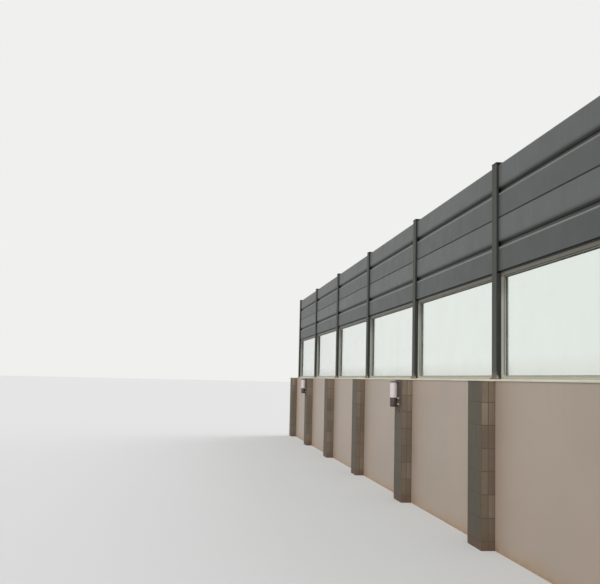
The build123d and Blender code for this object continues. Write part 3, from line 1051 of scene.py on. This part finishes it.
half_width = maths(tree, "DIVIDE", size_y, 2.0)
wavered_edge = maths(tree, "SUBTRACT", half_width, times(tree, waver, given["Ragged"]))
edge_room = maths(tree, "SUBTRACT", wavered_edge, maths(tree, "ABSOLUTE", spot_y))
rise = {"Value": edge_room, "From Min": 0.0, "From Max": given["Spread"]}
slope = add(tree, "ShaderNodeMapRange", rise)
full_height = maths(tree, "SUBTRACT", size_z, given["Skin"])
surface = maths(tree, "ADD", times(tree, slope, full_height), given["Skin"])
surface = maths(tree, "SUBTRACT", surface, times(tree, times(tree, crumbs, given["Rough"]), slope))
struck_level = maths(tree, "ADD", given["Foot level"], surface)
above_foot = maths(tree, "SUBTRACT", spot_z, given["Foot level"])
on_top = maths(tree, "GREATER_THAN", above_foot, maths(tree, "DIVIDE", size_z, 2.0))
struck_spot = add(tree, "ShaderNodeCombineXYZ", {"X": spot_x, "Y": spot_y, "Z": struck_level})
moved = {"Geometry": bars, "Selection": on_top, "Position": struck_spot}
struck = add(tree, "GeometryNodeSetPosition", moved)
tree.links.new(with_finish(tree, struck, given["Finish"]), result)

bedding_length = bedding_high.x - bedding_low.x - (post_count - 2) * (posts_x[0] - posts_x[1])
bedding_places = [(x, 0, (bedding_low.z + bedding_high.z) / 2) for x in bay_middles]
bedding = grown(
    new_object("trowelled_bedding", new_mesh("trowelled_bedding", bedding_places, [])),
    struck_fillet,
    Size=Vector((bedding_length, 2 * bedding_high.y, bedding_high.z - bedding_low.z)),
    Spread=fillet_spread,
    Skin=fillet_skin,
    Foot_level=bedding_low.z,
    Finish=joint_mortar,
)
fasten(bedding, "bedding_mortar", "bedding_strips")


# Wall lamps: a painted aluminium housing with a blown milky diffuser and a spun cap.
# Each hangs from a folded steel bracket fixed flat to the front of its pier, with four
# zinc screw anchors and their nuts beside the arm.
diffuser_low, diffuser_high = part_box("lamp_diffusers")
housing_low, housing_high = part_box("lamp_housings")
cap_radius = (housing_high.y - housing_low.y) / 2
diffuser_radius = (diffuser_high.y - diffuser_low.y) / 2
lamp_axis_y = (housing_low.y + housing_high.y) / 2
lamps_x = [housing_high.x - cap_radius, housing_low.x + cap_radius]
lamp_steps = 40

lamp_black, tree, shader = new_material("lamp_coating", roughness=0.4)
colour = clouded(tree, (72, 57, 52), (64, 52, 49), patch=0.05, depth=0.08, speck=0.04, size=0.002)
colour = dusted(tree, colour, (110, 104, 92), 0.6)
painted(tree, shader, colour, Grain=0.0008, Grain_depth=0.00006, Wave=0.02, Wave_depth=0.0001)

housing_radius = 0.046
collar_radius = 0.049
foot_radius = 0.040
taper_height = 0.022
collar_height = 0.008
cap_rim = 0.009
edge_round = 0.0012
seam_depth = 0.0012
body_height = diffuser_low.z - housing_low.z
collar_foot = body_height - collar_height
seam_foot = 0.62 * body_height
housing_outline = [
    (0, 0),
    (foot_radius - edge_round, 0),
    (foot_radius, edge_round),
    (housing_radius - edge_round / 4, taper_height - edge_round),
    (housing_radius, taper_height),
    (housing_radius, seam_foot),
    (housing_radius - seam_depth, seam_foot + seam_depth / 2),
    (housing_radius - seam_depth, seam_foot + 2.5 * seam_depth),
    (housing_radius, seam_foot + 3 * seam_depth),
    (housing_radius, collar_foot),
    (collar_radius - edge_round / 2, collar_foot),
    (collar_radius, collar_foot + edge_round),
    (collar_radius, body_height - edge_round),
    (collar_radius - edge_round, body_height),
    (0, body_height),
]
cap_height = housing_high.z - diffuser_high.z
cap_foot = diffuser_high.z - housing_low.z
cap_rise = cap_height - cap_rim
cap_dome = ((0.75, 0.35), (0.5, 0.56), (0.25, 0.66))
cap_nut_foot = cap_rim + 0.68 * cap_rise
cap_nut_radius = 0.007
cap_outline = [
    (0, 0),
    (cap_radius - edge_round, 0),
    (cap_radius, edge_round),
    (cap_radius, cap_rim - edge_round),
    (cap_radius - edge_round, cap_rim),
    *((wide * cap_radius, cap_rim + high * cap_rise) for wide, high in cap_dome),
    (cap_nut_radius, cap_nut_foot),
    (cap_nut_radius, cap_height - edge_round),
    (0.6 * cap_nut_radius, cap_height),
    (0, cap_height),
]
housing_and_cap = joined_mesh(
    "lamp_turning", turned(housing_outline, lamp_steps), turned(cap_outline, lamp_steps, cap_foot)
)
housing_spots = [at(x, lamp_axis_y, housing_low.z) for x in lamps_x]
laid("lamp_turnings", housing_and_cap, housing_spots, "lamp_black", lamp_black, ["lamp_housings"], seed=61)

lamp_milk, tree, shader = new_material("milky_diffuser", roughness=0.28)
shader["Subsurface Weight"].default_value = 0.5
shader["Subsurface Radius"].default_value = (0.03, 0.03, 0.03)
colour = clouded(tree, (207, 199, 196), (199, 190, 189), patch=0.08, depth=0.03, speck=0.01, size=0.004)
painted(tree, shader, colour)
diffuser_height = diffuser_high.z - diffuser_low.z
diffuser_round = 2 * edge_round
diffuser_outline = [
    (0, 0),
    (diffuser_radius - diffuser_round, 0),
    (diffuser_radius, diffuser_round),
    (diffuser_radius, diffuser_height - diffuser_round),
    (diffuser_radius - diffuser_round, diffuser_height),
    (0, diffuser_height),
]
blown_diffuser = joined_mesh("lamp_glass", turned(diffuser_outline, lamp_steps))
diffuser_spots = [at(x, lamp_axis_y, diffuser_low.z) for x in lamps_x]
laid("lamp_glasses", blown_diffuser, diffuser_spots, "lamp_milk", lamp_milk, ["lamp_diffusers"], seed=67)

bracket_paint, tree, shader = new_material("bracket_paint", roughness=0.7, specular=0.2)
colour = clouded(tree, (96, 80, 71), (84, 70, 62), patch=0.06, depth=0.08, speck=0.04, size=0.003)
painted(tree, shader, dusted(tree, colour, (112, 104, 90), 0.6))
coat(bracket_paint, "lamp_brackets")

bracket_thickness = 0.005
bracket_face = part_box("lamp_brackets")[1].y - bracket_thickness
bracket_anchor_reach = 0.058
bracket_anchor_levels = (1.193, 1.267)
bracket_anchor_size = (0.85, 0.85, 0.95)
road_turn = (math.pi / 2, 0, 0)
bracket_spots = [
    at(x + side * bracket_anchor_reach, bracket_face, level, road_turn, bracket_anchor_size)
    for x in lamps_x
    for side in (-1, 1)
    for level in bracket_anchor_levels
]
laid("bracket_screws", anchor_mesh, bracket_spots, "lamp_bracket", galvanised, seed=71)


# The camera's place: at eye level in front of the wall, looking along it and slightly up.
# The focal length and the lean were worked out from the photograph's vanishing point and verticals.
eye = Vector((13.851, -2.848, 1.480))
yaw = math.radians(6.921)
pitch = math.radians(5.698)
lean = math.radians(1.319)
ahead = Vector((-math.cos(yaw) * math.cos(pitch), math.sin(yaw) * math.cos(pitch), math.sin(pitch)))
level_right = ahead.cross(Vector((0, 0, 1))).normalized()
level_up = level_right.cross(ahead)
right = math.cos(lean) * level_right + math.sin(lean) * level_up
up = math.cos(lean) * level_up - math.sin(lean) * level_right
camera_data = bpy.data.cameras.new("camera")
camera_data.sensor_width = 36.0
camera_data.lens = 52.32
camera_data.clip_start = 0.05
camera_data.clip_end = 2000.0
camera = new_object("camera", camera_data)
camera.matrix_world = Matrix.Translation(eye) @ Matrix((right, up, -ahead)).transposed().to_4x4()
bpy.context.scene.camera = camera


# The studio: one wide pale floor, an even light all round and two broad soft lamps, one in
# front towards the near end and one behind. The floor and what surrounds it look pale to the
# eye, but they send a duller light on to the barrier, so that its own colours hold.
def seen_directly(tree):
    """1 for light that goes straight to the eye, off metal or through glass, otherwise 0."""
    path = add(tree, "ShaderNodeLightPath").node.outputs
    direct = maths(tree, "MAXIMUM", path["Is Camera Ray"], path["Is Glossy Ray"])
    return maths(tree, "MAXIMUM", direct, path["Is Transmission Ray"])


floor_material, tree, shader = new_material("pale_floor", roughness=0.9)
painted(tree, shader, mixed(tree, seen_directly(tree), shade(112, 112, 110), shade(193, 193, 191)))
floor_reach = 400.0
floor_corners = 64
angles = [math.tau * corner / floor_corners for corner in range(floor_corners)]
floor_points = [(floor_reach * math.cos(angle), floor_reach * math.sin(angle), 0) for angle in angles]
floor = new_object("floor", new_mesh("floor", floor_points, [tuple(range(floor_corners))]))
floor.data.materials.append(floor_material)

world = bpy.data.worlds.new("even_sky")
world.use_nodes = True
bpy.context.scene.world = world
tree = world.node_tree
sky = tree.nodes["Background"].inputs
eye_share = seen_directly(tree)
tree.links.new(mixed(tree, eye_share, (0.95, 0.97, 1.0, 1), shade(240, 240, 239)), sky["Color"])
lighting = 0.75
tree.links.new(ranged(tree, eye_share, lighting, 1.0 - lighting), sky["Strength"])

lamp_spread = math.radians(50)
for name, direction, energy in (
    ("road_side_lamp", Vector((0.64, -0.53, 0.56)), 2.5),
    ("rear_lamp", Vector((-0.35, 0.72, 0.60)), 1.2),
):
    lamp_data = bpy.data.lights.new(name, "SUN")
    lamp_data.energy = energy
    lamp_data.angle = lamp_spread
    lamp = new_object(name, lamp_data)
    lamp.rotation_mode = "QUATERNION"
    lamp.rotation_quaternion = direction.to_track_quat("Z", "Y")

bpy.context.scene.view_settings.view_transform = "Standard"
